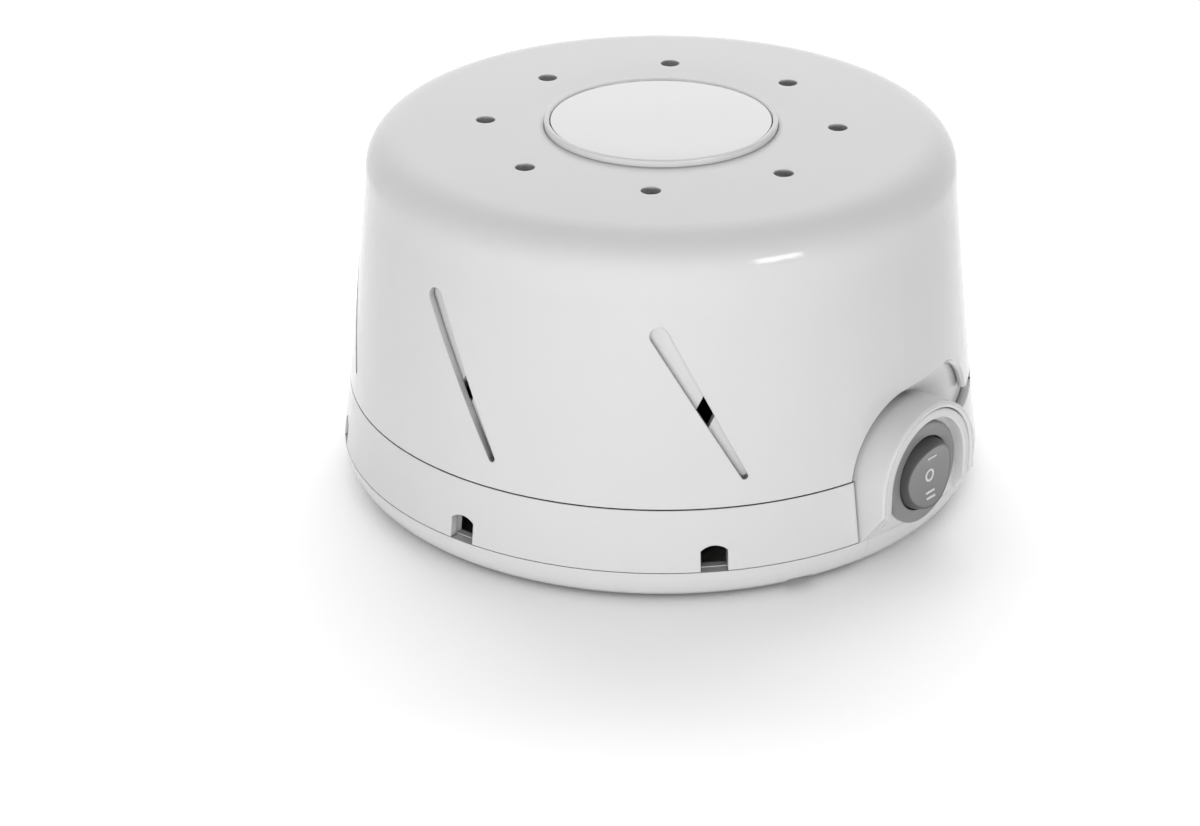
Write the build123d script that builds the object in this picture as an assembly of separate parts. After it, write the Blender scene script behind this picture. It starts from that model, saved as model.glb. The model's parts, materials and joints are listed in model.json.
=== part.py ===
from build123d import *
from math import asin, atan2, cos, degrees, radians, sin, tan
import os

# White noise sound machine: a two-speed fan in a round slotted housing.
# Millimetres, +Z up. The origin is on the turning axis, on the surface the feet stand on.
# The switch faces -Y. An azimuth is counted from -Y towards +X, in degrees.
# "Reach" is a distance from the axis towards the switch, so reach r lies at y = -r.

# ---------------------------------------------------------------- outer body
base_radius = 73.15       # widest radius, at the top of the base rim
rim_top = 8.4             # height where the base ends and the collar begins
rim_round = 8.4           # radius of the rim's rounded lower edge
foot_proud = 0.8          # how far the feet stand out below the base
collar_height = 14.1
neck_step = 1.85          # how much the collar narrows on its way up
seam = 0.3                # gap between the collar and its neighbours
body_height = 81.8        # top of the cap, without the badge
crease_drop = 13.4        # from the top down to the faint crease round the cap
crease_step = 5.05        # how much the cap narrows up to the crease
band_step = 0.35          # and in the band above the crease
shoulder_round = 8.6

# ---------------------------------------------------------------- walls and running gaps
cap_wall = 1.6
collar_wall = 2.0
drum_wall = 1.8
base_wall = 2.2
floor_thickness = 2.5
slide_gap = 0.35          # between surfaces that turn past each other
fit_gap = 0.1             # between pieces that are fixed to each other
running_gap = 0.04        # between a shaft or pivot and its bearing
press_gap = 0.02          # between the shaft and what is pressed on it

# ---------------------------------------------------------------- sound openings
opening_pitch = 45.0
slot_count = 7            # one place of eight is taken by the hood
slot_azimuth = -42.0      # middle of the first slot
slot_lean = 8.85          # half the sideways run of a slot
slot_top_drop = 7.6       # below the crease
slot_foot_rise = 6.5      # above the cap's lower edge
slot_top_radius = 2.0
slot_foot_radius = 0.75
drum_slot_azimuth = -40.9
drum_slot_lean = 8.7
drum_slot_top_drop = 8.4
drum_slot_foot_rise = 5.2
drum_slot_radius = 2.1
window_azimuth = -40.2
window_width = 5.9
window_crown = 14.4
window_sagitta = 1.2
hole_count = 8
hole_inset = 26.7         # from the cap's band in to the circle of top holes
hole_radius = 2.15
hole_azimuth = -7.5
drum_hole_offset = 2.5    # the drum's top holes lag behind the cap's
drum_hole_radius = 2.6

# ---------------------------------------------------------------- hood and switch
switch_height = 20.2      # centre of the switch
hood_stand = 3.85         # how far the hood's front stands out of the base
hood_radius = 16.6
hood_wall = 1.35
notch_half = 14.3         # half the width of the gap in the base rim, under the hood
hood_depth = 15.0
hood_edge = 0.6           # rounding of the hood's front edges
lip_width = 1.6           # lip inside the hood that the plate stops against
lip_depth = 2.0
flare_slope = 0.727       # outward run per unit of height of the hood's foot
cutout_gap = 0.4          # between the hood and the cap or collar
cutout_flare = 3.0        # rolled edge round the cap's cut-out
cap_travel = 12.4         # degrees
collar_travel = 8.0       # degrees
relief_height = 3.0       # raised stretch of the cap's lower edge beside the hood
relief_sweep = 10.0       # degrees
plate_setback = 3.0       # switch plate behind the front of the hood
plate_thickness = 2.2
plate_gap = 0.25          # round the plate, inside the hood
plate_rim_width = 2.0     # raised rim round the plate
plate_rim_setback = 0.3   # behind the front of the hood
plate_rim_edge = 0.4
bezel_radius = 11.6
bezel_thickness = 1.2
bezel_round = 0.5
rocker_radius = 8.25      # the rocker is part of a ball of this radius
rocker_gap = 0.3
rocker_depth = 1.0        # pivot behind the front of the bezel
rocker_proud = 1.6        # middle of the hollow face, in front of the bezel
rocker_back = 2.6         # back of the button behind its pivot
rocker_dish = 21.5        # radius of the hollow in the face
rocker_edge = 0.3         # rounding round the face
pivot_pin_radius = 0.8
barrel_radius = 9.9
barrel_wall = 1.0
barrel_length = 14.0
keel_width = 4.4
keel_thickness = 3.2
keel_length = 7.5
ear_width = 5.0           # snap ears that hold the switch behind its plate
ear_depth = 3.5
mark_depth = 0.12
mark_width = 3.0
mark_stroke = 0.48
mark_twin = 0.62          # each bar of the double one, from its middle
mark_pitch = 4.5
blade_width = 4.8
blade_thickness = 0.8
blade_length = 8.0
blade_pitch = 6.0

# ---------------------------------------------------------------- badge and cap pivot
badge_radius = 26.0
badge_ring_width = 1.2
badge_proud = 1.5
badge_groove = 0.6
badge_gap = 0.25
badge_thickness = 1.1
badge_dome = 0.35
hub_radius = 9.0
hub_thickness = 2.2
hub_bore_radius = 2.5     # shoulder of the pivot screw
well_depth = 3.4          # how far the drum's top is sunk under the hub
pivot_thread_radius = 1.75
boss_length = 4.0
screw_head_radius = 5.0
screw_head_height = 1.8
washer_radius = 5.6
washer_thickness = 0.6

# ---------------------------------------------------------------- base, feet and fixings
shelf_height = 2.7        # above the floor, carries the drum
shelf_width = 4.4
foot_radius = 5.5
foot_thickness = 2.0
foot_inset = 16.15        # from the widest radius in to the circle of feet
column_inset = 11.15      # and to the screw columns
column_radius = 3.6
column_height = 24.0
column_roof = 4.0         # closed top of a column's screw hole
web_thickness = 2.0
base_screw_radius = 1.5
small_head_radius = 3.1
small_head_height = 1.5
post_radius = 4.5
post_height = 6.2
post_x = 38.0
post_y = 15.0
cord_azimuth = -24.0      # where the mains cord leaves
cord_slot_width = 5.8
cord_slot_height = 2.0
cord_hole_inset = 23.15
cord_hole_radius = 4.2

# ---------------------------------------------------------------- motor
plate_length = 92.0
plate_width = 44.0
motor_plate_thickness = 1.2
grommet_flange = 2.5
grommet_radius = 5.4
stack_bottom = 22.0
stack_height = 16.0
stack_half_width = 25.0
stack_front = -20.0
stack_back = 40.0
stack_leg = 12.0
window_front = 17.0
coil_leg = 12.0
rotor_bore = 12.6
air_gap = 0.4
ring_x = 3.0              # shading ring: place, width and bar
ring_width = 7.0
ring_bar = 2.0
rotor_overhang = 0.5
end_ring_thickness = 1.5
bracket_thickness = 1.5
bracket_rise = 6.5
bracket_width = 14.0
bush_radius = 4.5
bush_length = 5.6
shaft_radius = 2.0
motor_screw_x = 19.0
motor_screw_radius = 1.75
motor_head_radius = 3.2
motor_head_height = 2.2
nut_radius = 3.6
nut_height = 2.6
spacer_radius = 3.4
washer_height = 0.8
bobbin_wall = 1.2
coil_depth = 6.6
bobbin_rim = 0.6

# ---------------------------------------------------------------- fan
fan_radius = 42.0
fan_rise = 12.0           # fan above the stack
fan_disc = 1.6
fan_room = 6.5            # from the fan's top to the boss above it
fan_blade_thickness = 1.4
fan_blade_count = 11
fan_hub_radius = 6.5
fan_eye_radius = 18.0
blade_sweep = 22.0        # degrees from a blade's root to its tip
clip_radius = 4.6
clip_thickness = 0.8

# ---------------------------------------------------------------- internal leads
lead_radius = 1.0
lead_clear = 9.5          # from the posts out to the leads that pass them
lead_pitch = 3.2          # between the two leads on one side
column_pass = 13.84       # from a screw column to where the common lead turns in before it
pass_across = 9.64        # and from the column to where that lead passes it
pass_behind = 0.84
clip_gap = 1.7            # from a lead's middle to the middle of a clip's wall
rib_height = 2.5
splice_radius = 3.6
splice_length = 12.0
splice_aside = 12.16      # from the cord hole to the middle of the splice
splice_behind = 5.68

# ---------------------------------------------------------------- derived places
neck_radius = base_radius - neck_step
crease_radius = neck_radius - crease_step
band_radius = crease_radius - band_step
crease_height = body_height - crease_drop
collar_bottom = rim_top + seam / 2
collar_top = rim_top + collar_height
cap_bottom = collar_top + seam
slot_top = crease_height - slot_top_drop
slot_foot = cap_bottom + slot_foot_rise
drum_slot_top = crease_height - drum_slot_top_drop
drum_slot_foot = cap_bottom + drum_slot_foot_rise
hole_circle = band_radius - hole_inset
foot_circle = base_radius - foot_inset
column_circle = base_radius - column_inset
cord_hole_circle = base_radius - cord_hole_inset
lead_x = post_x + post_radius + lead_clear
splice_x = cord_hole_circle * sin(radians(cord_azimuth)) - splice_aside
splice_y = splice_behind - cord_hole_circle * cos(radians(cord_azimuth))
lead_turn = lead_x - 22   # where the leads start to run beside the motor
column_side = column_circle * cos(radians(45))
floor_top = foot_proud + floor_thickness
shelf_top = floor_top + shelf_height
drum_inset = cap_wall + slide_gap
drum_top = body_height - drum_inset
well_floor = drum_top - well_depth
hub_bottom = well_floor + slide_gap
hub_top = hub_bottom + hub_thickness
hood_inner = hood_radius - hood_wall
hood_reach = base_radius + hood_stand
plate_reach = hood_reach - plate_setback
bezel_reach = plate_reach + bezel_thickness
pivot_reach = bezel_reach - rocker_depth
face_reach = bezel_reach + rocker_proud
barrel_back = plate_reach - barrel_length
motor_plate_bottom = floor_top + post_height + grommet_flange
motor_plate_top = motor_plate_bottom + motor_plate_thickness
stack_top = stack_bottom + stack_height
fan_bottom = stack_top + fan_rise
bezel_opening = rocker_radius + rocker_gap
boss_bottom = well_floor - drum_wall - boss_length
fan_top = boss_bottom - fan_room
base_head_top = floor_top - small_head_height * 2 / 3
motor_post_places = [(x, y) for x in (-post_x, post_x) for y in (-post_y, post_y)]
motor_screw_places = (-motor_screw_x, motor_screw_x)
far = 100.0               # beyond the whole object, for cutting tools

# Plane with its normal along -Y: local x is +X and local y is +Z.
FRONT = Plane.XZ
# Plane through the axis: local x is the reach and local y is +Z.
SECTION = Plane(origin=(0, 0, 0), x_dir=(0, -1, 0), z_dir=(-1, 0, 0))


# ---------------------------------------------------------------- helpers
def turned(shape, azimuth):
    return Rot(0, 0, azimuth) * shape


def block(x0, x1, y0, y1, z0, z1):
    return Pos((x0 + x1) / 2, (y0 + y1) / 2, (z0 + z1) / 2) * Box(x1 - x0, y1 - y0, z1 - z0)


def post(radius, low, high, x=0.0, y=0.0):
    """Upright cylinder between two heights."""
    return Pos(x, y, (low + high) / 2) * Cylinder(radius, high - low)


def tube(outer, inner, low, high, x=0.0, y=0.0):
    return post(outer, low, high, x, y) - post(inner, low - 1, high + 1, x, y)


def peg(radius, near, far_end, x=0.0, z=0.0):
    """Cylinder along the reach, between two distances from the axis."""
    return Pos(x, -(near + far_end) / 2, z) * Rot(90, 0, 0) * Cylinder(radius, far_end - near)


def spun(points, arc=360.0):
    """Solid of revolution of a closed outline given as (reach, height)."""
    outline = make_face(Polyline(*points, close=True))
    return revolve(SECTION * outline, Axis.Z, arc)


def collar_radius(height):
    """Outer radius of the collar."""
    share = (height - rim_top) / collar_height
    return base_radius + (neck_radius - base_radius) * share


def cap_radius(height):
    """Outer radius of the cap's slope, also carried on below the cap."""
    share = (height - collar_top) / (crease_height - collar_top)
    return neck_radius + (crease_radius - neck_radius) * share


def body_inside(inset, bottom):
    """The body of the cap, moved inwards by inset, from a given height up."""
    round_centre = (band_radius - shoulder_round, body_height - shoulder_round)
    corner = shoulder_round - inset
    side = Polyline(
        (0, bottom),
        (cap_radius(bottom) - inset, bottom),
        (crease_radius - inset, crease_height),
        (round_centre[0] + corner, round_centre[1]),
    )
    shoulder = CenterArc(round_centre, corner, 0, 90)
    top = Polyline(shoulder @ 1, (0, body_height - inset), (0, bottom))
    return revolve(SECTION * make_face(side + shoulder + top), Axis.Z)


def base_body():
    """Base and hood foot: the rounded rim, then a slope outwards above it."""
    reach_top = hood_reach + hood_radius
    slope_top = rim_top + (reach_top - base_radius) / flare_slope
    edge = CenterArc(
        (base_radius - rim_round, rim_top),
        rim_round,
        0,
        -degrees(asin((rim_top - foot_proud) / rim_round)),
    )
    rest = Polyline(
        edge @ 1,
        (0, foot_proud),
        (0, slope_top + hood_radius),
        (reach_top, slope_top + hood_radius),
        (reach_top, slope_top),
        edge @ 0,
    )
    return revolve(SECTION * make_face(edge + rest), Axis.Z)


def arch(radius, foot):
    """Arch outline: a half circle round the switch, with straight legs down to foot."""
    legs = Pos(0, (switch_height + foot) / 2) * Rectangle(2 * radius, switch_height - foot)
    return Pos(0, switch_height) * Circle(radius) + legs


def arch_prism(radius, near, far_end, foot):
    face = FRONT * arch(radius, foot)
    return Pos(0, -near, 0) * extrude(face, far_end - near)


def leaning_slot(lean, top, top_radius, foot, foot_radius, near):
    """Cutter for a slot with round ends. A positive lean runs to +X going down."""
    upper = Pos(-lean, top) * Circle(top_radius)
    lower = Pos(lean, foot) * Circle(foot_radius)
    outline = make_hull(upper.edges() + lower.edges())
    return Pos(0, -near, 0) * extrude(FRONT * outline, far - near)


def window_cutter(near, width, sill, crown):
    """Cutter for a window with an arched head."""
    spring = crown - window_sagitta
    sides = Polyline((width / 2, spring), (width / 2, sill), (-width / 2, sill), (-width / 2, spring))
    head = ThreePointArc((-width / 2, spring), (0, crown), (width / 2, spring))
    return Pos(0, -near, 0) * extrude(FRONT * make_face(sides + head), far - near)


def round_the_body(tool, first_azimuth, count):
    """Copies of a cutter round the body, going away from the hood."""
    return [turned(tool, first_azimuth - k * opening_pitch) for k in range(count)]


def round_the_top(tool, first_azimuth):
    return [turned(tool, first_azimuth + k * 360 / hole_count) for k in range(hole_count)]


def screw(radius, tip, head_bottom, head_radius, head_height, x=0.0, y=0.0):
    """Pan head screw with a cross recess, standing upright with its head on top."""
    body = post(radius, tip, head_bottom, x, y)
    head = post(head_radius, head_bottom, head_bottom + head_height, x, y)
    head = chamfer(head.edges().group_by(Axis.Z)[-1], head_height * 0.3)
    top = head_bottom + head_height
    arm = head_radius * 0.55
    half = head_radius * 0.12
    deep = top - head_height * 0.55
    cross = block(x - arm, x + arm, y - half, y + half, deep, top + 1)
    cross += block(x - half, x + half, y - arm, y + arm, deep, top + 1)
    return body + head - cross


def solids_of(shapes):
    """One compound of the separate solids of several shapes."""
    return Compound([solid for shape in shapes for solid in shape.solids()])


def lead(points):
    """Insulated wire: straight runs joined by arcs as large as the runs allow."""
    radii = []
    for before, here, after in zip(points, points[1:], points[2:]):
        a = Vector(*here) - Vector(*before)
        b = Vector(*after) - Vector(*here)
        half_turn = radians(a.get_angle(b)) / 2
        radii.append(0.45 * min(a.length, b.length) / tan(half_turn))
    path = FilletPolyline(*points, radius=radii)
    start = Plane(origin=path @ 0, z_dir=path % 0)
    return sweep(start * Circle(lead_radius), path=path)


# ---------------------------------------------------------------- housing
def cap_cutout():
    """Room for the hood over the cap's whole travel, with a rolled edge outside."""
    radius = hood_radius + cutout_gap
    low = rim_top
    inside = hood_reach - hood_depth - drum_wall
    flare_start = cap_radius(switch_height + radius) - cap_wall * 0.85
    plain = arch_prism(radius, 0, far, low)
    wide = FRONT * arch(radius, low)
    flared = Pos(0, -flare_start, 0) * extrude(wide, cutout_flare, taper=-45)
    head = switch_height + radius
    between = spun(
        [
            (inside, low),
            (inside, head),
            (flare_start, head),
            (flare_start + cutout_flare, head + cutout_flare),
            (flare_start + cutout_flare, low),
        ],
        cap_travel,
    )
    return [plain, flared, turned(plain, cap_travel), turned(flared, cap_travel), between]


def make_cap_shell():
    shell = body_inside(0, cap_bottom) - body_inside(cap_wall, cap_bottom - 1)
    hub = post(hub_radius, hub_bottom, body_height - cap_wall / 2)
    pocket = post(hub_radius - cap_wall, hub_top, far)
    bore = post(hub_bore_radius + running_gap, 0, far)
    shell = shell + hub - pocket - bore
    groove_inner = badge_radius - badge_ring_width - fit_gap
    shell -= tube(badge_radius + fit_gap, groove_inner, body_height - badge_groove, far)
    shell -= cap_cutout()
    # the lower edge is raised over a short stretch beside the cut-out
    edge_azimuth = cap_travel + degrees(asin((hood_radius + cutout_gap) / neck_radius))
    low = cap_bottom - relief_height
    high = cap_bottom + relief_height
    relief = spun([(hole_circle, low), (far, low), (far, high), (hole_circle, high)], relief_sweep)
    shell -= turned(relief, edge_azimuth - 1)
    slot = leaning_slot(slot_lean, slot_top, slot_top_radius, slot_foot, slot_foot_radius, hole_circle)
    shell -= round_the_body(slot, slot_azimuth, slot_count)
    hole = post(hole_radius, drum_top, far, 0, -hole_circle)
    return shell - round_the_top(hole, hole_azimuth)


def make_badge_bezel():
    low = body_height - badge_groove
    high = body_height + badge_proud
    ring = tube(badge_radius, badge_radius - badge_ring_width, low, high)
    return fillet(ring.edges().group_by(Axis.Z)[-1], badge_ring_width * 0.4)


def make_badge_label():
    radius = badge_radius - badge_ring_width - badge_gap
    high = body_height + badge_thickness
    dome_radius = (radius**2 + badge_dome**2) / (2 * badge_dome)
    dome = Pos(0, 0, high + badge_dome - dome_radius) * Sphere(dome_radius)
    return post(radius, body_height, high + badge_dome) & dome


def make_pivot_screw():
    head_bottom = hub_top + washer_thickness
    body = post(hub_bore_radius, well_floor, head_bottom)
    body += screw(pivot_thread_radius, boss_bottom, head_bottom, screw_head_radius, screw_head_height)
    return body


def make_pivot_washer():
    return tube(washer_radius, hub_bore_radius + fit_gap, hub_top, hub_top + washer_thickness)


def make_tone_collar():
    foot = collar_radius(collar_bottom)
    ring = spun(
        [
            (foot, collar_bottom),
            (neck_radius, collar_top),
            (neck_radius - collar_wall, collar_top),
            (foot - collar_wall, collar_bottom),
        ]
    )
    half = hood_radius + cutout_gap
    gap = block(-half, half, -far, 0, 0, far)
    ring = ring - gap - turned(gap, collar_travel)
    window = window_cutter(hole_circle, window_width, rim_top - 1, window_crown)
    return ring - round_the_body(window, window_azimuth, slot_count)


def make_base_tray():
    inner = base_radius - base_wall
    tray = base_body() & post(far, 0, rim_top)
    tray -= post(inner - shelf_width, floor_top, far) + post(inner, shelf_top, far)
    foot = post(foot_radius + fit_gap, 0, foot_thickness, 0, -foot_circle)
    tray -= [turned(foot, 90 * k) for k in range(4)]
    screw_hole = post(base_screw_radius + fit_gap, 0, far, 0, -column_circle)
    screw_hole += post(column_radius, 0, base_head_top, 0, -column_circle)
    tray -= [turned(screw_hole, 45 + 90 * k) for k in range(4)]
    # stiffening ring and the posts that carry the motor plate
    ring_radius = foot_circle / 2
    tray += tube(ring_radius, ring_radius - 1.5, floor_top - 0.5, floor_top + rib_height)
    for x, y in motor_post_places:
        tray += post(post_radius, floor_top - 0.5, floor_top + post_height, x, y)
        tray -= post(base_screw_radius + fit_gap, floor_top, far, x, y)
    # channel for the flat mains cord, from its hole out through the rim
    half = cord_slot_width / 2
    roof = foot_proud + cord_slot_height
    cover_top = roof + base_wall
    cover = block(-half - base_wall, half + base_wall, -inner + shelf_width - 1, -cord_hole_circle,
                  foot_proud, cover_top)
    cover += post(cord_hole_radius + base_wall, foot_proud, cover_top, 0, -cord_hole_circle)
    channel = block(-half, half, -far, -cord_hole_circle, 0, roof)
    bore = post(cord_hole_radius, 0, far, 0, -cord_hole_circle)
    tray = tray + turned(cover, cord_azimuth) - turned(channel + bore, cord_azimuth)
    # clips that hold the internal leads, two of them on one side
    for x in (-lead_x - lead_pitch - clip_gap, clip_gap - lead_x, lead_x - clip_gap, lead_x + clip_gap):
        tray += block(x - clip_gap / 3, x + clip_gap / 3, -3, 3, floor_top - 0.5, floor_top + rib_height)
    # the switch plate closes the rim here, and its tongue lies on the floor
    tray -= block(-notch_half, notch_half, -far, -(inner - shelf_width), 0, far)
    tray -= block(-notch_half, notch_half, -far, -column_circle, floor_top, far)
    return tray


def skirt_outline(inset, bottom):
    """Section of the drum below the cap, moved inwards by inset."""
    radius = collar_radius(rim_top) - collar_wall - slide_gap - inset
    neck = neck_radius - collar_wall - slide_gap - inset
    top = cap_radius(cap_bottom) - drum_inset - inset
    side = [(radius, bottom), (radius, rim_top), (neck, collar_top), (top, cap_bottom)]
    return [(0, bottom)] + side + [(0, cap_bottom)]


def make_inner_drum():
    solid = body_inside(drum_inset, cap_bottom) + spun(skirt_outline(0, shelf_top))
    hollow = body_inside(drum_inset + drum_wall, cap_bottom) + spun(skirt_outline(drum_wall, 0))
    drum = solid - hollow
    # sunk middle of the top, with the boss for the pivot screw
    drum += post(hub_radius + slide_gap + drum_wall, well_floor - drum_wall, drum_top)
    drum += post(hub_bore_radius * 2, boss_bottom, well_floor)
    drum -= post(hub_radius + slide_gap, well_floor, far)
    drum -= post(pivot_thread_radius + fit_gap, 0, far)
    # screw columns with their webs
    column_top = floor_top + column_height
    half = web_thickness / 2
    web = block(-half, half, -base_radius, -column_circle, shelf_top, column_top) & solid
    column = web + post(column_radius, floor_top, column_top, 0, -column_circle)
    column -= post(base_screw_radius + fit_gap / 2, 0, column_top - column_roof, 0, -column_circle)
    drum += [turned(column, 45 + 90 * k) for k in range(4)]
    # openings
    slot = leaning_slot(-drum_slot_lean, drum_slot_top, drum_slot_radius,
                        drum_slot_foot, drum_slot_radius, hole_circle)
    drum -= round_the_body(slot, drum_slot_azimuth, slot_count)
    wide = window_width + 2 * slide_gap
    window = window_cutter(column_circle + column_radius, wide, collar_bottom, window_crown)
    drum -= round_the_body(window, window_azimuth, slot_count)
    hole = post(drum_hole_radius, well_floor, far, 0, -hole_circle)
    drum -= round_the_top(hole, hole_azimuth - drum_hole_offset)
    return drum + make_hood() - hood_opening()


def make_hood():
    near = hood_reach - hood_depth
    outline = FRONT * (arch(hood_radius, rim_top) - arch(hood_inner, 0))
    tunnel = Pos(0, -near, 0) * extrude(outline, hood_depth)
    tunnel = fillet(tunnel.faces().sort_by(Axis.Y)[0].edges(), hood_edge)
    plate_back = plate_reach - plate_thickness
    lip = arch_prism(hood_inner, plate_back - lip_depth, plate_back, rim_top)
    lip -= arch_prism(hood_inner - lip_width, near, hood_reach, 0)
    return (tunnel + lip) & base_body() & post(far, rim_top, far)


def hood_opening():
    """Clears the drum's wall inside the hood, behind and in front of the lip."""
    lip_back = plate_reach - plate_thickness - lip_depth
    room = arch_prism(hood_inner, hood_reach - hood_depth * 1.4, lip_back, 0)
    room += arch_prism(hood_inner - lip_width, lip_back - 1, far, 0)
    return room


def make_switch_plate():
    radius = hood_inner - plate_gap
    panel = arch_prism(radius, plate_reach - plate_thickness, plate_reach, rim_top)
    rim = arch_prism(radius, plate_reach - 0.5, hood_reach - plate_rim_setback, rim_top)
    rim -= arch_prism(radius - plate_rim_width, 0, far, 0)
    rim = fillet(rim.faces().sort_by(Axis.Y)[0].edges(), plate_rim_edge)
    half = notch_half - fit_gap
    inner = base_radius - base_wall - shelf_width
    apron = block(-half, half, -plate_reach, -inner - fit_gap, foot_proud, rim_top + 4.0)
    apron -= block(-far, far, -(plate_reach - plate_thickness), 0, rim_top, far)
    tongue = block(-half * 0.7, half * 0.7, -inner - 1, -inner + 6, floor_top, floor_top + 2.5)
    plate = (panel + rim + apron + tongue) & base_body()
    return plate - peg(barrel_radius + fit_gap, 0, far, 0, switch_height)


# ---------------------------------------------------------------- switch
def make_switch_bezel():
    flange = peg(bezel_radius, plate_reach, bezel_reach, 0, switch_height)
    flange = fillet(flange.edges().sort_by(Axis.Y)[0], bezel_round)
    barrel = peg(barrel_radius, barrel_back, plate_reach + 0.5, 0, switch_height)
    body = flange + barrel
    body -= peg(bezel_opening, pivot_reach - 2, far, 0, switch_height)
    body -= peg(barrel_radius - barrel_wall, barrel_back + 1.5, plate_reach, 0, switch_height)
    bearing = Cylinder(pivot_pin_radius + running_gap, 2 * (barrel_radius - rocker_gap))
    body -= Pos(0, -pivot_reach, switch_height) * Rot(0, 90, 0) * bearing
    for k in (-1, 0, 1):
        z = switch_height + k * blade_pitch
        half = blade_width / 2 + fit_gap
        thin = blade_thickness / 2 + fit_gap / 2
        body -= block(-half, half, -barrel_back - 2, -barrel_back + 2, z - thin, z + thin)
    # snap ears behind the plate
    back = plate_reach - plate_thickness - fit_gap
    for side in (-1, 1):
        ear = Box(1.4, ear_depth, ear_width)
        body += Pos(side * (barrel_radius + 0.2), ear_depth / 2 - back, switch_height) * ear
    return body


def make_rocker():
    place = Pos(0, -pivot_reach, switch_height)
    ball = place * Rot(90, 0, 0) * Sphere(rocker_radius)
    button = (ball - dish(rocker_dish)) & block(-far, far, -far, -(pivot_reach - rocker_back), 0, far)
    rim = button.faces().sort_by(Axis.Y)[0].edges()
    button = fillet(rim, rocker_edge)
    keel = Pos(0, keel_length / 2, 0) * Box(keel_width, keel_length, keel_thickness)
    keel = place * keel
    pin = place * Rot(0, 90, 0) * Cylinder(pivot_pin_radius, 2 * (barrel_radius - 2 * rocker_gap))
    return button + keel + pin


def dish(radius):
    """Roller that hollows the rocker's face."""
    centre = face_reach + rocker_dish
    return Pos(0, -centre, switch_height) * Rot(0, 90, 0) * Cylinder(radius, 4 * rocker_radius)


def bar_mark(z):
    half = mark_width / 2
    near = face_reach - rocker_proud
    return block(-half, half, -far, -near, z - mark_stroke / 2, z + mark_stroke / 2)


def make_rocker_marks():
    """Thin prints on the face: a bar, a circle and a double bar."""
    half = mark_width / 2
    near = face_reach - rocker_proud
    layer = dish(rocker_dish) - dish(rocker_dish - mark_depth)
    ring = peg(half, near, far, 0, switch_height)
    ring -= peg(half - mark_stroke, near, far, 0, switch_height)
    lower = switch_height - mark_pitch
    marks = [bar_mark(switch_height + mark_pitch), ring]
    marks += [bar_mark(lower + mark_twin), bar_mark(lower - mark_twin)]
    return solids_of([layer & mark for mark in marks])


def make_switch_terminals():
    half = blade_width / 2
    thin = blade_thickness / 2
    blade = block(-half, half, -(barrel_back + 3), -(barrel_back - blade_length),
                  switch_height - thin, switch_height + thin)
    return solids_of([Pos(0, 0, k * blade_pitch) * blade for k in (-1, 0, 1)])


def make_spade_sockets():
    """Crimped receptacles on the upper and the lower blade."""
    half = blade_width / 2
    thin = blade_thickness / 2
    front = 1.0 - barrel_back
    tip = blade_length - barrel_back
    back = tip + 2.5
    sleeve = block(-half - 0.7, half + 0.7, front, back, -thin - 0.7, thin + 0.7)
    sleeve -= block(-half - 0.05, half + 0.05, front - 1, tip + fit_gap, -thin - 0.05, thin + 0.05)
    crimp = Pos(0, back + 2, 0) * Rot(90, 0, 0) * Cylinder(lead_radius + 0.6, 4.2)
    crimp -= Pos(0, back + 3, 0) * Rot(90, 0, 0) * Cylinder(lead_radius + 0.05, 4)
    socket = sleeve + crimp
    return solids_of([Pos(0, 0, switch_height + k * blade_pitch) * socket for k in (-1, 1)])


# ---------------------------------------------------------------- base fittings
def make_foot_pads():
    pad = post(foot_radius, 0, foot_thickness, 0, -foot_circle)
    pad = chamfer(pad.edges().group_by(Axis.Z)[0], 0.4)
    return solids_of([turned(pad, 90 * k) for k in range(4)])


def make_base_screws():
    """Screws driven upwards, so each stands on its head."""
    tip = floor_top + column_height * 0.6
    upright = screw(base_screw_radius, -tip, -base_head_top, small_head_radius, small_head_height * 0.8)
    one = Pos(0, -column_circle, 0) * Rot(180, 0, 0) * upright
    return solids_of([turned(one, 45 + 90 * k) for k in range(4)])


def make_cord_grommet():
    floor = foot_proud + cord_slot_height + base_wall
    body = tube(cord_hole_radius - fit_gap, cord_slot_width / 2, floor - 3.6, floor)
    body += tube(cord_hole_radius + 1.6, cord_slot_width / 2, floor, floor + 1.6)
    return turned(Pos(0, -cord_hole_circle, 0) * body, cord_azimuth)


# ---------------------------------------------------------------- motor
def make_motor_plate():
    outline = RectangleRounded(plate_length, plate_width, 6.0)
    plate = Pos(0, 0, motor_plate_bottom) * extrude(outline, motor_plate_thickness)
    for x, y in motor_post_places:
        plate -= post(post_radius - 1.0, 0, far, x, y)
    for x in motor_screw_places:
        plate -= post(motor_screw_radius + fit_gap, 0, far, x, 0)
    return plate - post(shaft_radius + 5.0, 0, far)


def make_motor_grommets():
    grommets = []
    top = motor_plate_top + grommet_flange
    bottom = motor_plate_bottom - grommet_flange
    for x, y in motor_post_places:
        spool = post(post_radius - 1.0 - fit_gap, bottom, top, x, y)
        spool += post(grommet_radius, bottom, motor_plate_bottom, x, y)
        spool += post(grommet_radius, motor_plate_top, top, x, y)
        grommets.append(spool - post(base_screw_radius + fit_gap, 0, far, x, y))
    return solids_of(grommets)


def make_grommet_washers():
    low = motor_plate_top + grommet_flange
    rings = [tube(grommet_radius, base_screw_radius + fit_gap, low, low + washer_height, x, y)
             for x, y in motor_post_places]
    return solids_of(rings)


def make_plate_screws():
    head = motor_plate_top + grommet_flange + washer_height
    screws = [screw(base_screw_radius, floor_top + 0.5, head, small_head_radius, small_head_height, x, y)
              for x, y in motor_post_places]
    return solids_of(screws)


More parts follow.
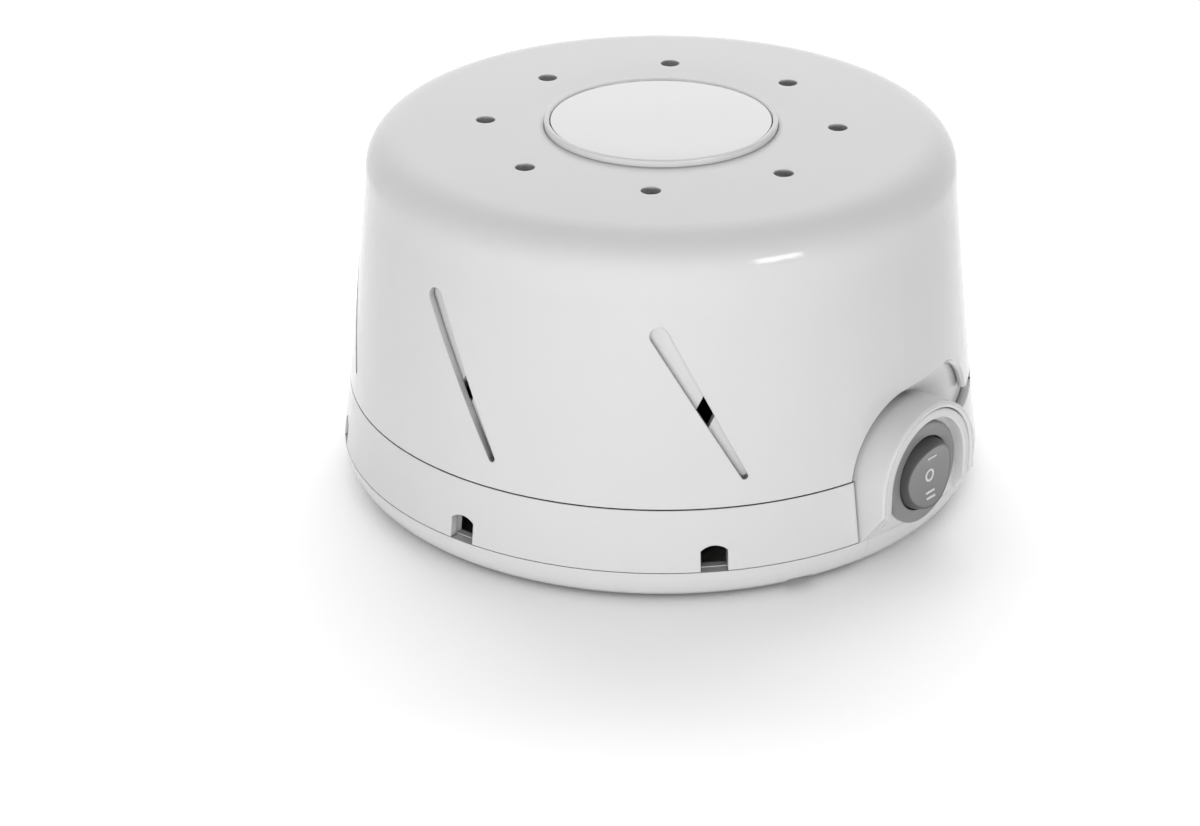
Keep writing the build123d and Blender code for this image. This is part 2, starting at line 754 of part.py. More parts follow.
def make_stator_stack():
    half = stack_half_width
    stack = block(-half, half, stack_front, stack_back, stack_bottom, stack_top)
    edges = stack.edges().filter_by(Axis.Z)
    stack = fillet(edges, 3.0)
    inner = half - stack_leg
    stack -= block(-inner, inner, window_front, stack_back - coil_leg, 0, far)
    stack -= post(rotor_bore, 0, far)
    for x in motor_screw_places:
        stack -= post(motor_screw_radius + fit_gap, 0, far, x, 0)
    # a notch between the poles and two slots for each shading ring
    cuts = block(-0.8, 0.8, 0, rotor_bore + 2, 0, far)
    for x in (ring_x, ring_x + ring_width - ring_bar):
        cuts += block(x - fit_gap, x + ring_bar + fit_gap, 0, rotor_bore + ring_bar + 2 * fit_gap, 0, far)
    return stack - cuts - turned(cuts, 180)


def make_shading_rings():
    low = stack_bottom - ring_bar - fit_gap
    high = stack_top + ring_bar + fit_gap
    near = rotor_bore + fit_gap
    ring = block(ring_x, ring_x + ring_width, near, near + ring_bar, low, high)
    left = ring_x + ring_bar
    right = ring_x + ring_width - ring_bar
    ring -= block(left, right, 0, far, low + ring_bar, high - ring_bar)
    return solids_of([ring, turned(ring, 180)])


def make_coil_bobbin():
    leg_near = stack_back - coil_leg
    low = stack_bottom - fit_gap
    high = stack_top + fit_gap
    half = stack_half_width - stack_leg - fit_gap
    near = leg_near - fit_gap
    back = stack_back + fit_gap
    core = block(-half, half, near - bobbin_wall, back + bobbin_wall, low - bobbin_wall, high + bobbin_wall)
    reach = bobbin_wall + coil_depth + bobbin_rim
    for side in (-1, 1):
        x = side * (half - bobbin_wall / 2)
        core += block(x - bobbin_wall / 2, x + bobbin_wall / 2, near - reach, back + reach,
                      low - reach, high + reach)
    return core - block(-far, far, near, back, low, high)


def make_coil_winding():
    leg_near = stack_back - coil_leg
    gap = fit_gap + bobbin_wall + 0.05
    half = stack_half_width - stack_leg - fit_gap - bobbin_wall - 0.05
    outer = block(-half, half, leg_near - gap - coil_depth, stack_back + gap + coil_depth,
                  stack_bottom - gap - coil_depth, stack_top + gap + coil_depth)
    outer = fillet(outer.edges().filter_by(Axis.X), 3.0)
    return outer - block(-far, far, leg_near - gap, stack_back + gap, stack_bottom - gap, stack_top + gap)


def make_thermal_cutout():
    top = stack_top + fit_gap + bobbin_wall + 0.05 + coil_depth
    middle = stack_back - coil_leg / 2
    case = block(-5.5, 5.5, middle - 3.0, middle + 3.0, top, top + 3.0)
    return fillet(case.edges().filter_by(Axis.X), 1.0)


def make_bracket(foot, crown):
    """Bearing bridge: a strip bent up from the stack's face to a raised crown."""
    thick = bracket_thickness if crown > foot else -bracket_thickness
    foot_in = motor_screw_x - 4.5
    foot_out = motor_screw_x + 4.5
    crown_x = bush_radius + 3.5
    bend = abs(thick) / 2
    half = [(crown_x, crown), (foot_in, foot), (foot_out, foot)]
    half += [(foot_out, foot + thick), (foot_in + bend, foot + thick), (crown_x + bend, crown + thick)]
    outline = make_face(Polyline(*half, *[(-x, z) for x, z in reversed(half)], close=True))
    strip = Pos(0, bracket_width / 2, 0) * extrude(FRONT * outline, bracket_width)
    for x in motor_screw_places:
        strip -= post(motor_screw_radius + fit_gap, 0, far, x, 0)
    return strip - post(bush_radius + fit_gap / 2, 0, far)


def bush_span(crown, direction):
    middle = crown + direction * bracket_thickness / 2
    return middle - bush_length / 2, middle + bush_length / 2


upper_crown = stack_top + bracket_rise
lower_crown = stack_bottom - bracket_rise
upper_bush = bush_span(upper_crown, 1)
lower_bush = bush_span(lower_crown, -1)


def make_shaft_bushes():
    bushes = []
    for low, high in (lower_bush, upper_bush):
        bush = post(bush_radius, low, high)
        bush = chamfer(bush.edges().filter_by(GeomType.CIRCLE), 0.5)
        bushes.append(bush - post(shaft_radius + running_gap, 0, far))
    return solids_of(bushes)


def make_motor_spacers():
    low = motor_plate_top
    high = stack_bottom - bracket_thickness
    bore = motor_screw_radius + fit_gap
    tubes = [tube(spacer_radius, bore, low, high, x, 0) for x in motor_screw_places]
    return solids_of(tubes)


def make_motor_screws():
    head = stack_top + bracket_thickness
    tip = motor_plate_bottom - nut_height - 0.6
    one = screw(motor_screw_radius, tip, head, motor_head_radius, motor_head_height)
    return solids_of([Pos(x, 0, 0) * one for x in motor_screw_places])


def make_motor_nuts():
    nut = extrude(RegularPolygon(nut_radius, 6), nut_height)
    nut -= Cylinder(motor_screw_radius + fit_gap / 2, 4 * nut_height)
    return solids_of([Pos(x, 0, motor_plate_bottom - nut_height) * nut for x in motor_screw_places])


# ---------------------------------------------------------------- rotor and fan
rotor_low = stack_bottom - rotor_overhang
rotor_high = stack_top + rotor_overhang
clip_bottom = fan_top + fit_gap
shaft_top = clip_bottom + clip_thickness + 1.0


def make_motor_shaft():
    shaft = post(shaft_radius, lower_bush[0] - 0.6, shaft_top)
    return chamfer(shaft.edges().filter_by(GeomType.CIRCLE), 0.3)


def make_rotor_core():
    core = post(rotor_bore - air_gap, rotor_low, rotor_high)
    return core - post(shaft_radius + press_gap, 0, far)


def make_rotor_end_rings():
    radius = rotor_bore - air_gap - 0.8
    rings = [tube(radius, shaft_radius + 4.0, rotor_low - end_ring_thickness, rotor_low),
             tube(radius, shaft_radius + 4.0, rotor_high, rotor_high + end_ring_thickness)]
    return solids_of(rings)


def make_thrust_washers():
    rings = [tube(bush_radius - 0.6, shaft_radius + press_gap, lower_bush[1] + 0.1, rotor_low),
             tube(bush_radius - 0.6, shaft_radius + press_gap, rotor_high, upper_bush[0] - 0.1)]
    return solids_of(rings)


def make_fan_wheel():
    low = fan_bottom
    wheel = post(fan_radius, low, low + fan_disc) + post(fan_hub_radius, low - 0.5, fan_top)
    # one curved blade from the eye to just inside the rim
    run = (fan_radius - 2) * cos(radians(blade_sweep)) - fan_eye_radius
    rise = (fan_radius - 2) * sin(radians(blade_sweep))
    bend = (run**2 + rise**2) / (2 * rise)
    arc = degrees(atan2(run, bend - rise))
    inner = CenterArc((fan_eye_radius, bend), bend - fan_blade_thickness / 2, -90, arc)
    outer = CenterArc((fan_eye_radius, bend), bend + fan_blade_thickness / 2, -90, arc)
    strip = make_face(inner + outer + Line(inner @ 0, outer @ 0) + Line(inner @ 1, outer @ 1))
    root = low + fan_disc / 2
    blade = Pos(0, 0, root) * extrude(strip, fan_top - root)
    wheel += [turned(blade, k * 360 / fan_blade_count) for k in range(fan_blade_count)]
    return wheel - post(shaft_radius + press_gap, 0, far)


def make_fan_clip():
    ring = tube(clip_radius, shaft_radius + press_gap, clip_bottom, clip_bottom + clip_thickness)
    return ring - block(0, far, -1.2, 1.2, 0, far)


# ---------------------------------------------------------------- wiring
bobbin_face = stack_half_width - stack_leg - fit_gap
socket_end = barrel_back - blade_length - 3.5
lead_level = floor_top + lead_radius + fit_gap
splice_height = floor_top + splice_radius


def switch_lead(side, blade_height):
    """Wire from a switch blade down to the floor, past the motor and up to the coil."""
    exit_y = stack_back - coil_leg / 3
    exit_height = stack_bottom - 4.5
    return lead([
        (0, -socket_end, blade_height),
        (0, -socket_end + 9, blade_height),
        (side * 12, -socket_end + 14, (blade_height + lead_level) / 2),
        (side * 28, -socket_end + 14.5, lead_level),
        (side * (lead_x - 8), -lead_turn, lead_level),
        (side * lead_x, -12, lead_level),
        (side * lead_x, 12, lead_level),
        (side * (lead_x - 6), lead_turn - 2, lead_level),
        (side * (lead_x - 20), exit_y, lead_level + 4),
        (side * (bobbin_face + 9), exit_y, exit_height),
        (side * bobbin_face, exit_y, exit_height),
    ])


def make_lead_low():
    return switch_lead(-1, switch_height + blade_pitch)


def make_lead_high():
    return switch_lead(1, switch_height - blade_pitch)


def make_lead_common():
    """Wire from the splice past the motor and up to the middle of the coil."""
    start = splice_x - splice_length / 2
    outer = lead_x + lead_pitch
    exit_y = stack_back + 5
    return lead([
        (start + 5, splice_y, splice_height),
        (start - 3, splice_y, splice_height),
        (start - 8, splice_y + 2.5, lead_level),
        (-outer, -14, lead_level),
        (-outer, 14, lead_level),
        (-outer + 6, column_side - column_pass, lead_level),
        (pass_across - column_side, column_side - pass_behind, lead_level + 1),
        (-bobbin_face - 9, exit_y + 1, 14),
        (-bobbin_face - 6, exit_y, stack_bottom + 7),
        (-bobbin_face, exit_y, stack_bottom + 7),
    ])


def make_splice_cap():
    body = Rot(0, 90, 0) * Cylinder(splice_radius, splice_length)
    body = fillet(body.edges().sort_by(Axis.X)[-1], 1.5)
    body -= Pos(-splice_length / 2, 0, 0) * Rot(0, 90, 0) * Cylinder(lead_radius + fit_gap, 12)
    return Pos(splice_x, splice_y, splice_height) * body


# ---------------------------------------------------------------- all pieces
pieces = {
    "cap_shell": make_cap_shell,
    "badge_bezel": make_badge_bezel,
    "badge_label": make_badge_label,
    "cap_pivot_screw": make_pivot_screw,
    "pivot_washer": make_pivot_washer,
    "tone_collar": make_tone_collar,
    "base_tray": make_base_tray,
    "inner_drum": make_inner_drum,
    "switch_plate": make_switch_plate,
    "switch_bezel": make_switch_bezel,
    "rocker": make_rocker,
    "rocker_marks": make_rocker_marks,
    "switch_terminals": make_switch_terminals,
    "spade_sockets": make_spade_sockets,
    "foot_pads": make_foot_pads,
    "base_screws": make_base_screws,
    "cord_grommet": make_cord_grommet,
    "motor_plate": make_motor_plate,
    "motor_grommets": make_motor_grommets,
    "grommet_washers": make_grommet_washers,
    "plate_screws": make_plate_screws,
    "stator_stack": make_stator_stack,
    "shading_rings": make_shading_rings,
    "coil_bobbin": make_coil_bobbin,
    "coil_winding": make_coil_winding,
    "thermal_cutout": make_thermal_cutout,
    "upper_bracket": lambda: make_bracket(stack_top, upper_crown),
    "lower_bracket": lambda: make_bracket(stack_bottom, lower_crown),
    "shaft_bushes": make_shaft_bushes,
    "motor_spacers": make_motor_spacers,
    "motor_screws": make_motor_screws,
    "motor_nuts": make_motor_nuts,
    "motor_shaft": make_motor_shaft,
    "rotor_core": make_rotor_core,
    "rotor_end_rings": make_rotor_end_rings,
    "thrust_washers": make_thrust_washers,
    "fan_wheel": make_fan_wheel,
    "fan_clip": make_fan_clip,
    "lead_low": make_lead_low,
    "lead_high": make_lead_high,
    "lead_common": make_lead_common,
    "splice_cap": make_splice_cap,
}

os.makedirs("parts", exist_ok=True)
for name, make in pieces.items():
    export_step(make(), f"parts/{name}.step")
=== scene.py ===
import json
import math

import bpy
from mathutils import Matrix, Vector

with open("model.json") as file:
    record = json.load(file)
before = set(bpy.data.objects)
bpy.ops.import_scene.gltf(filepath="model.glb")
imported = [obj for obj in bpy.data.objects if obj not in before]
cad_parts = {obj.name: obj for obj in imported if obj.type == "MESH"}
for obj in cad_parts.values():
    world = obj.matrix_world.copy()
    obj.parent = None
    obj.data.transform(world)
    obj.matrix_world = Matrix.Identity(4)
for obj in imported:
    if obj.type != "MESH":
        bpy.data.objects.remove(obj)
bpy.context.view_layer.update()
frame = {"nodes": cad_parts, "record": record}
scene = bpy.context.scene
scene.view_settings.view_transform = "Standard"

# Lengths are in metres, angles in degrees and colours linear, unless a comment says otherwise.

# ---------------------------------------------------------------- camera
# The photograph's viewing angle, solved from the object's outlines in it
IMAGE_WIDTH = 1200              # pixels
FOCAL_PIXELS = 3000.0
SENSOR = 36.0                   # millimetres
CAMERA_AZIMUTH = -49.5
CAMERA_ELEVATION = 27.26
CAMERA_DISTANCE = 0.7034        # from the middle of the object's underside
CAMERA_YAW = 1.137              # turned away from that point, sideways
CAMERA_PITCH = 0.717            # and upwards
CAMERA_ROLL = -0.300
CLIP_START, CLIP_END = 0.01, 20


def direction(azimuth, elevation):
    """Unit vector from the object towards a view at that azimuth and elevation."""
    a, e = math.radians(azimuth), math.radians(elevation)
    return Vector((math.sin(a) * math.cos(e), -math.cos(a) * math.cos(e), math.sin(e)))


def add_camera():
    back = direction(CAMERA_AZIMUTH, CAMERA_ELEVATION)
    right = Vector((-back.y, back.x, 0)).normalized()
    forward = -back
    up = right.cross(forward)
    yaw = Matrix.Rotation(math.radians(CAMERA_YAW), 3, up)
    forward, right = yaw @ forward, yaw @ right
    pitch = Matrix.Rotation(math.radians(CAMERA_PITCH), 3, right)
    forward, up = pitch @ forward, pitch @ up
    roll = Matrix.Rotation(math.radians(CAMERA_ROLL), 3, forward)
    right, up = roll @ right, roll @ up
    turn = Matrix((right, up, -forward)).transposed().to_4x4()
    data = bpy.data.cameras.new("camera")
    data.sensor_width = SENSOR
    data.lens = FOCAL_PIXELS / IMAGE_WIDTH * SENSOR
    data.clip_start, data.clip_end = CLIP_START, CLIP_END
    camera = bpy.data.objects.new("camera", data)
    camera.matrix_world = Matrix.Translation(back * CAMERA_DISTANCE) @ turn
    scene.collection.objects.link(camera)
    scene.camera = camera


# ---------------------------------------------------------------- node helpers
PURE_WHITE = (1, 1, 1, 1)
HOLLOW_SAMPLES = 8              # rays that feel for surfaces close by
EDGE_SAMPLES = 6                # rays that round an edge


class Graph:
    """A node tree of a material or world, with short calls for the nodes used here."""

    def __init__(self, owner, output="ShaderNodeOutputMaterial"):
        owner.use_nodes = True
        self.owner = owner
        self.tree = owner.node_tree
        self.tree.nodes.clear()
        self.output = self.add(output)

    def add(self, kind, **settings):
        node = self.tree.nodes.new(kind)
        for key, value in settings.items():
            setattr(node, key, value)
        return node

    def link(self, source, target):
        self.tree.links.new(source, target)

    def place(self):
        """The object's own coordinates."""
        return self.add("ShaderNodeTexCoord").outputs["Object"]

    def stretched(self, scale):
        """Those coordinates times a scale along each axis."""
        mapping = self.add("ShaderNodeMapping")
        mapping.inputs["Scale"].default_value = scale
        self.link(self.place(), mapping.inputs["Vector"])
        return mapping.outputs["Vector"]

    def noise(self, size, detail=2.0, vector=None):
        """Noise whose cells are about that size, from 0 to 1."""
        node = self.add("ShaderNodeTexNoise")
        node.inputs["Scale"].default_value = 1 / size
        node.inputs["Detail"].default_value = detail
        self.link(vector or self.place(), node.inputs["Vector"])
        return node.outputs["Fac"]

    def bands(self, size, distortion):
        """Level bands, one above the other, size from one to the next."""
        node = self.add("ShaderNodeTexWave", bands_direction="Z")
        node.inputs["Scale"].default_value = math.pi / (10 * size)
        node.inputs["Distortion"].default_value = distortion
        self.link(self.place(), node.inputs["Vector"])
        return node.outputs["Fac"]

    def spread(self, value, low, high, start=0.25, end=0.75):
        """Maps start..end of a value to low..high."""
        node = self.add("ShaderNodeMapRange")
        node.inputs["From Min"].default_value = start
        node.inputs["From Max"].default_value = end
        node.inputs["To Min"].default_value = low
        node.inputs["To Max"].default_value = high
        self.link(value, node.inputs["Value"])
        return node.outputs["Result"]

    def shade(self, colour, factor, times):
        """The colour, mixed by the factor with the colour times a number."""
        node = self.add("ShaderNodeMix", data_type="RGBA")
        node.inputs["A"].default_value = (*colour, 1)
        node.inputs["B"].default_value = (*[min(1, c * times) for c in colour], 1)
        self.link(factor, node.inputs["Factor"])
        return node.outputs["Result"]

    def dimmed(self, colour, factor):
        """The colour times a factor."""
        node = self.add("ShaderNodeVectorMath", operation="SCALE")
        self.link(colour, node.inputs["Vector"])
        self.link(factor, node.inputs["Scale"])
        return node.outputs["Vector"]

    def open_sky(self, reach, own=False):
        """1 on open surfaces, falling to 0 where surfaces nearer than reach close in.

        With own, only the piece's own surfaces count.
        """
        node = self.add("ShaderNodeAmbientOcclusion", samples=HOLLOW_SAMPLES, only_local=own)
        node.inputs["Distance"].default_value = reach
        return node.outputs["AO"]

    def soft_edges(self, radius):
        """The normal, with sharp edges rounded to that radius."""
        node = self.add("ShaderNodeBevel", samples=EDGE_SAMPLES)
        node.inputs["Radius"].default_value = radius
        return node.outputs["Normal"]

    def bump(self, height, depth, before=None):
        """The normal, or the one before it, with bumps of that depth."""
        node = self.add("ShaderNodeBump")
        node.inputs["Strength"].default_value = 1.0
        node.inputs["Distance"].default_value = depth
        self.link(height, node.inputs["Height"])
        if before:
            self.link(before, node.inputs["Normal"])
        return node.outputs["Normal"]

    def mixed(self, factor, first, second):
        """The first shader, mixed by the factor with the second."""
        node = self.add("ShaderNodeMixShader")
        self.link(factor, node.inputs["Fac"])
        self.link(first, node.inputs[1])
        self.link(second, node.inputs[2])
        return node.outputs["Shader"]

    def emission(self):
        """A white light, and the socket of its strength."""
        node = self.add("ShaderNodeEmission")
        node.inputs["Color"].default_value = PURE_WHITE
        return node.outputs["Emission"], node.inputs["Strength"]

    def background(self, strength):
        """A world's white light."""
        node = self.add("ShaderNodeBackground")
        node.inputs["Color"].default_value = PURE_WHITE
        node.inputs["Strength"].default_value = strength
        return node.outputs["Background"]

    def seen(self):
        """1 for a camera, glossy or transmission ray, otherwise 0."""
        path = self.add("ShaderNodeLightPath")
        first = self.add("ShaderNodeMath", operation="MAXIMUM")
        second = self.add("ShaderNodeMath", operation="MAXIMUM")
        self.link(path.outputs["Is Camera Ray"], first.inputs[0])
        self.link(path.outputs["Is Glossy Ray"], first.inputs[1])
        self.link(first.outputs["Value"], second.inputs[0])
        self.link(path.outputs["Is Transmission Ray"], second.inputs[1])
        return second.outputs["Value"]

    def surface(self, colour, roughness, normal, **values):
        """The material's shader. A number in values is set on the shader's own socket."""
        shader = self.add("ShaderNodeBsdfPrincipled")
        self.link(colour, shader.inputs["Base Color"])
        self.link(roughness, shader.inputs["Roughness"])
        self.link(normal, shader.inputs["Normal"])
        for key, value in values.items():
            shader.inputs[key.replace("_", " ")].default_value = value
        self.link(shader.outputs["BSDF"], self.output.inputs["Surface"])
        return self.owner


# ---------------------------------------------------------------- materials
# Painted shade: the colour darkens where surfaces close in, in gaps beside other pieces and in a
# piece's own hollows.
PAINTED_GAP_SHADE_REACH = 0.0022            # how near another surface is where a gap gets painted shade
PAINTED_GAP_SHADE_RANGE = (0.15, 0.85)      # how open the surface is where that is full, and where it ends
HOLLOW_REACH = 0.012            # the same for the painted shade in the hollows of a piece
HOLLOW_RANGE = (0.2, 0.95)

ROCKER_PIVOT = (0, -0.0742, 0.0202)
ROCKER_RADIUS = 0.00825
# The button's ball-shaped side, where the hollow face gives way to it, is painted darker as
# shade.
BALL_STARTS = 0.0006            # how far inside that radius the hollow face ends
BALL_IS_FULL = 0.0001           # and the ball begins

SHEET = 0.0005                  # thickness of a motor's laminations
WIRE = 0.0004                   # pitch of the coil's turns


def new_graph(name):
    return Graph(bpy.data.materials.new(name))


def grey(level):
    return (level, level, level)


def moulded(name, colour, roughness, skin=0.0009, depth=0.0000025, mottle=0.985, painted_gap_shade=0.0,
            shadow=0.0, edge=0.0, **values):
    """Moulded plastic: a fine orange-peel skin, faint flow marks and fine scuffs in the gloss.

    The skin's cells have the size skin and the height depth, and the flow marks are the colour
    times mottle. From 0 to 1, painted_gap_shade paints shade into the gaps beside other pieces
    and shadow paints shade into the piece's own hollows. Edge is the radius of its rounded
    edges.
    """
    g = new_graph(name)
    flow = g.noise(0.035, detail=3.0)
    tint = g.shade(colour, g.spread(flow, 0.0, 1.0), mottle)
    # Painted shade: darker where another piece closes in within a few millimetres.
    if painted_gap_shade:
        tint = g.dimmed(tint, g.spread(g.open_sky(PAINTED_GAP_SHADE_REACH), 1 - painted_gap_shade, 1.0, *PAINTED_GAP_SHADE_RANGE))
    # Painted shade: darker in the piece's own hollows.
    if shadow:
        own_sky = g.open_sky(HOLLOW_REACH, own=True)
        tint = g.dimmed(tint, g.spread(own_sky, 1 - shadow, 1.0, *HOLLOW_RANGE))
    scuffs = g.noise(0.004, detail=4.0)
    gloss = g.spread(scuffs, roughness * 0.85, roughness * 1.2)
    rounded = g.soft_edges(edge) if edge else None
    return g.surface(tint, gloss, g.bump(g.noise(skin, detail=1.0), depth, rounded), **values)


def rocker_button(name):
    """The switch's button: a ball with painted shade on its side, polished by use, under a
    hollow face.
    """
    g = new_graph(name)
    apart = g.add("ShaderNodeVectorMath", operation="DISTANCE")
    g.link(g.place(), apart.inputs[0])
    apart.inputs[1].default_value = ROCKER_PIVOT
    painted_side_shade = g.spread(apart.outputs["Value"], 0.0, 1.0,
                    start=ROCKER_RADIUS - BALL_STARTS, end=ROCKER_RADIUS - BALL_IS_FULL)
    # Painted shade: the ball-shaped side is darkened to 0.3 of the face's grey.
    tint = g.shade(grey(0.26), painted_side_shade, times=0.3)
    tint = g.dimmed(tint, g.spread(g.noise(0.012, detail=3.0), 1.0, 0.94))
    gloss = g.spread(g.noise(0.002, detail=3.0), 0.32, 0.45)
    skin = g.noise(0.0005, detail=1.0)
    return g.surface(tint, gloss, g.bump(skin, 0.000004, g.soft_edges(0.0003)))


def rubber(name, colour):
    """Dark rubber: dull, with a faint bloom and fine pores."""
    g = new_graph(name)
    tint = g.shade(colour, g.spread(g.noise(0.0012, detail=3.0), 0.0, 1.0), times=1.5)
    gloss = g.spread(g.noise(0.0008), 0.6, 0.85)
    pores = g.bump(g.noise(0.0004), 0.00002)
    return g.surface(tint, gloss, pores, Specular_IOR_Level=0.3)


def sheet_metal(name, colour, roughness=0.32, grain=(1, 14, 14)):
    """Rolled or turned metal with fine straight grain and dull patches."""
    g = new_graph(name)
    lines = g.noise(0.004, detail=4.0, vector=g.stretched(grain))
    dull = g.noise(0.006)
    tint = g.shade(colour, g.spread(dull, 0.0, 1.0), times=0.82)
    gloss = g.spread(lines, roughness * 0.75, roughness * 1.35)
    return g.surface(tint, gloss, g.bump(lines, 0.000008), Metallic=1.0)


def laminated(name, colour):
    """A stack of stamped sheets: thin level edge lines, with a little dark rust between them."""
    g = new_graph(name)
    edges = g.bands(SHEET, distortion=0.4)
    tint = g.shade(colour, g.spread(edges, 1.0, 0.0, start=0.1, end=0.6), times=0.45)
    gloss = g.spread(g.noise(0.0015, detail=3.0), 0.35, 0.6)
    return g.surface(tint, gloss, g.bump(edges, 0.00005), Metallic=1.0)


def wound(name, colour):
    """A coil's outer layer: fine turns side by side, a little uneven."""
    g = new_graph(name)
    turns = g.bands(WIRE, distortion=1.2)
    tint = g.shade(colour, g.spread(turns, 1.0, 0.0, start=0.1, end=0.8), times=0.35)
    gloss = g.spread(g.noise(0.001), 0.25, 0.45)
    return g.surface(tint, gloss, g.bump(turns, 0.00012), Metallic=0.6)


def nylon(name, colour, roughness=0.45, skin=0.0008, depth=0.000006, mottle=0.95):
    """Small inner mouldings and wire coverings: duller, with a coarser skin."""
    return moulded(name, colour, roughness, skin, depth, mottle)


WHITE = grey(0.80)

MATERIALS = {
    # The cap, collar, base, drum and plate plastics have painted shade darkening their gaps and
    # hollows.
    "cap_plastic": lambda n: moulded(n, WHITE, 0.12, painted_gap_shade=0.95, shadow=0.8, edge=0.0004),
    "collar_plastic": lambda n: moulded(n, WHITE, 0.14, painted_gap_shade=0.95, shadow=0.88, edge=0.0004),
    "base_plastic": lambda n: moulded(n, WHITE, 0.16, painted_gap_shade=0.4, shadow=0.3, edge=0.0003),
    "drum_plastic": lambda n: moulded(n, grey(0.79), 0.2, shadow=0.5, edge=0.0004),
    "plate_plastic": lambda n: moulded(n, WHITE, 0.2, shadow=0.3, edge=0.0004),
    "badge_ring_plastic": lambda n: moulded(n, grey(0.78), 0.14, Coat_Weight=0.3,
                                            Coat_Roughness=0.04),
    "badge_face_plastic": lambda n: moulded(n, grey(0.93), 0.1, Coat_Weight=0.6,
                                            Coat_Roughness=0.03),
    "switch_plastic": lambda n: moulded(n, grey(0.29), 0.4, skin=0.0005, depth=0.000006,
                                        mottle=0.94, edge=0.0003),
    "rocker_plastic": rocker_button,
    "mark_ink": lambda n: moulded(n, grey(0.82), 0.5),
    "foot_rubber": lambda n: rubber(n, grey(0.035)),
    "isolator_rubber": lambda n: rubber(n, grey(0.05)),
    "gland_rubber": lambda n: rubber(n, grey(0.06)),
    "zinc_steel": lambda n: sheet_metal(n, (0.58, 0.59, 0.60), 0.28),
    "plate_steel": lambda n: sheet_metal(n, (0.50, 0.50, 0.52), 0.35),
    "lamination_steel": lambda n: laminated(n, (0.30, 0.30, 0.31)),
    "rotor_steel": lambda n: laminated(n, (0.32, 0.32, 0.33)),
    "cast_alloy": lambda n: sheet_metal(n, (0.60, 0.60, 0.61), 0.5, grain=(1, 1, 1)),
    "copper_ring": lambda n: sheet_metal(n, (0.62, 0.30, 0.18), 0.3, grain=(1, 1, 8)),
    "coil_wire": lambda n: wound(n, (0.52, 0.22, 0.10)),
    "bearing_bronze": lambda n: sheet_metal(n, (0.55, 0.38, 0.20), 0.45, grain=(1, 1, 1)),
    "terminal_brass": lambda n: sheet_metal(n, (0.60, 0.50, 0.28), 0.3),
    "shaft_steel": lambda n: sheet_metal(n, (0.60, 0.60, 0.61), 0.18, grain=(1, 1, 20)),
    "bobbin_nylon": lambda n: nylon(n, (0.70, 0.68, 0.62)),
    "fan_plastic": lambda n: nylon(n, grey(0.62), 0.4),
    "washer_nylon": lambda n: nylon(n, (0.72, 0.72, 0.70), skin=0.0006),
    "cutout_case": lambda n: nylon(n, grey(0.05), 0.4, skin=0.0006, mottle=1.2),
    "lead_black": lambda n: nylon(n, grey(0.03), 0.4, skin=0.0006, depth=0.000008, mottle=1.3),
    "lead_red": lambda n: nylon(n, (0.45, 0.03, 0.03), 0.4, skin=0.0006, depth=0.000008,
                                mottle=0.85),
    "lead_white": lambda n: nylon(n, grey(0.70), 0.4, skin=0.0006, depth=0.000008, mottle=0.93),
    "splice_nylon": lambda n: nylon(n, (0.68, 0.66, 0.60), 0.35, depth=0.00001, mottle=0.93),
}


def dress_nodes():
    """Gives each CAD node the procedural material of its slot in the record."""
    made = {}
    for row in frame["record"]["subparts"]:
        slot = row["material_slot"]
        if slot not in made:
            made[slot] = MATERIALS[slot](slot)
        materials = frame["nodes"][row["node"]].data.materials
        materials.clear()
        materials.append(made[slot])


# ---------------------------------------------------------------- floor and backdrop
FLOOR_SIZE = 6.0
FLOOR_COLOUR = grey(0.90)
FLOOR_FILL = 0.5                # light added to what the camera sees of the floor
SHADOW_REACH = 0.06             # how near the object that light fades, as a painted shadow
SHADOW_ENDS = (0.14, 0.32)      # distances from the axis between which the floor turns white
WORLD_LEVEL = 0.2
BACKDROP_LEVEL = 1.0


def floor_material():
    """A pale floor that keeps the object's shadow, with painted light for the camera that fades
    to a painted shadow near the object, and is white to the camera around it.
    """
    g = new_graph("floor_white")
    diffuse = g.add("ShaderNodeBsdfDiffuse")
    tint = g.shade(FLOOR_COLOUR, g.spread(g.noise(0.4), 0.0, 1.0), times=0.99)
    g.link(tint, diffuse.inputs["Color"])
    fill, fill_strength = g.emission()
    # Painted shadow: the light added for the camera fades where the object closes in.
    level = g.spread(g.open_sky(SHADOW_REACH), 0.0, FLOOR_FILL, start=0.0, end=1.0)
    g.link(level, fill_strength)
    near = g.add("ShaderNodeAddShader")
    g.link(diffuse.outputs["BSDF"], near.inputs[0])
    g.link(fill, near.inputs[1])
    white, white_strength = g.emission()
    white_strength.default_value = BACKDROP_LEVEL
    away = g.add("ShaderNodeVectorMath", operation="LENGTH")
    g.link(g.place(), away.inputs[0])
    far = g.spread(away.outputs["Value"], 0.0, 1.0, *SHADOW_ENDS)
    around = g.mixed(far, near.outputs["Shader"], white)
    shown = g.mixed(g.seen(), diffuse.outputs["BSDF"], around)
    g.link(shown, g.output.inputs["Surface"])
    return g.owner


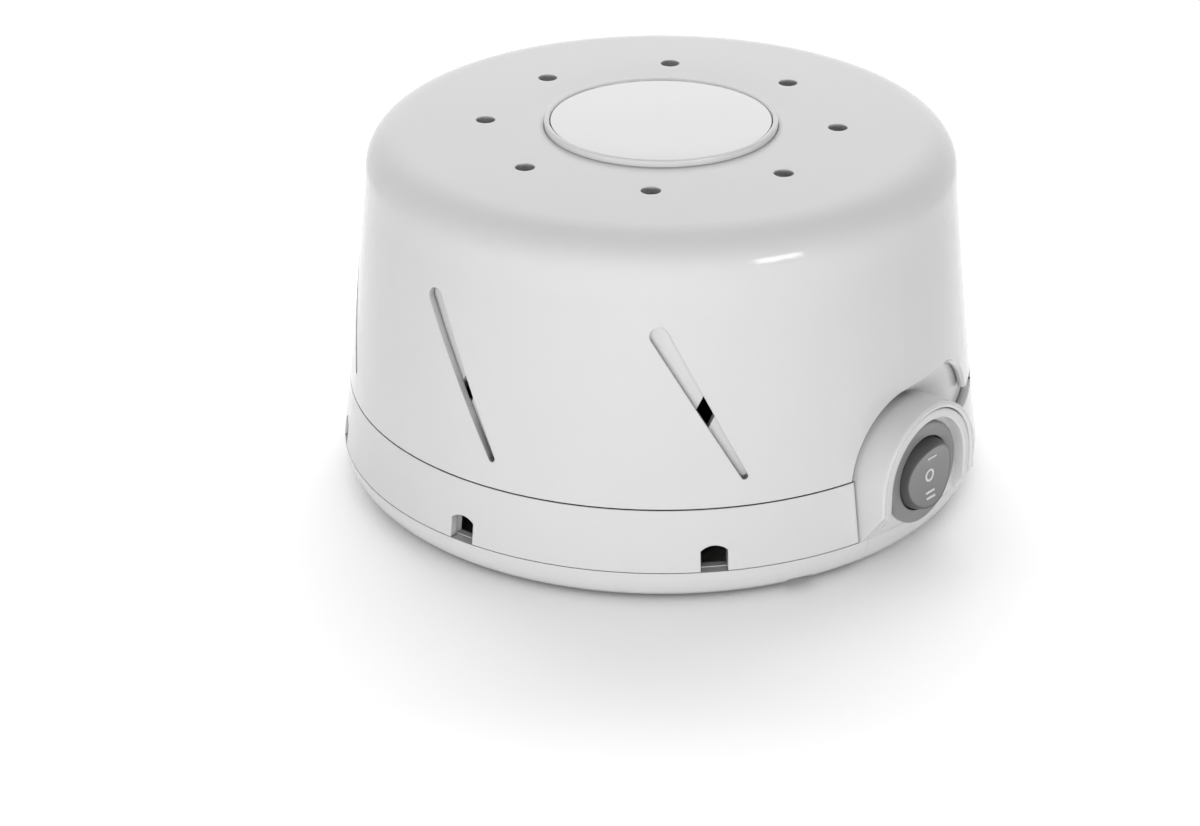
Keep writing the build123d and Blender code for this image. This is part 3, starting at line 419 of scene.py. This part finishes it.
def add_floor():
    mesh = bpy.data.meshes.new("floor")
    h = FLOOR_SIZE / 2
    mesh.from_pydata([(-h, -h, 0), (h, -h, 0), (h, h, 0), (-h, h, 0)], [], [(0, 1, 2, 3)])
    mesh.materials.append(floor_material())
    floor = bpy.data.objects.new("floor", mesh)
    scene.collection.objects.link(floor)


def add_world():
    """Even studio light, and white where the camera or a reflection looks past the floor."""
    world = bpy.data.worlds.new("studio")
    g = Graph(world, "ShaderNodeOutputWorld")
    shown = g.mixed(g.seen(), g.background(WORLD_LEVEL), g.background(BACKDROP_LEVEL))
    g.link(shown, g.output.inputs["Surface"])
    scene.world = world


# ---------------------------------------------------------------- lamps
# Broad lamps from the front, the back and the left, which light the plastic without a
# reflection in it, and a small one on the right that only makes the spark on the shoulder.
# Azimuths are counted from the camera's, and power is in watts.
BROAD = {"visible_glossy": False}
SPARK = {"visible_diffuse": False}
LAMPS = {
    "softbox_front": dict(azimuth=-1, elevation=5, distance=1.8, width=1.5, height=0.3,
                          power=19.0, rays=BROAD),
    "softbox_back": dict(azimuth=178, elevation=40, distance=1.5, width=2.4, height=1.05,
                         power=27.8, rays=BROAD),
    "softbox_left": dict(azimuth=-69, elevation=11.5, distance=1.2, width=2.0, height=0.5,
                         power=1.1, rays=BROAD),
    "softbox_right": dict(azimuth=43, elevation=11, distance=1.6, width=0.5, height=0.32,
                          power=4.0, rays=SPARK),
}
LAMP_TARGET = Vector((0, 0, 0.04))


def add_softbox(name, azimuth, elevation, distance, width, height, power, rays):
    data = bpy.data.lights.new(name, "AREA")
    data.shape = "RECTANGLE"
    data.size, data.size_y = width, height
    data.energy = power
    lamp = bpy.data.objects.new(name, data)
    place = LAMP_TARGET + direction(CAMERA_AZIMUTH + azimuth, elevation) * distance
    lamp.location = place
    lamp.rotation_mode = "QUATERNION"
    lamp.rotation_quaternion = (LAMP_TARGET - place).to_track_quat("-Z", "Y")
    for key, value in rays.items():
        setattr(lamp, key, value)
    scene.collection.objects.link(lamp)


add_camera()
add_world()
add_floor()
for name, settings in LAMPS.items():
    add_softbox(name, **settings)
dress_nodes()
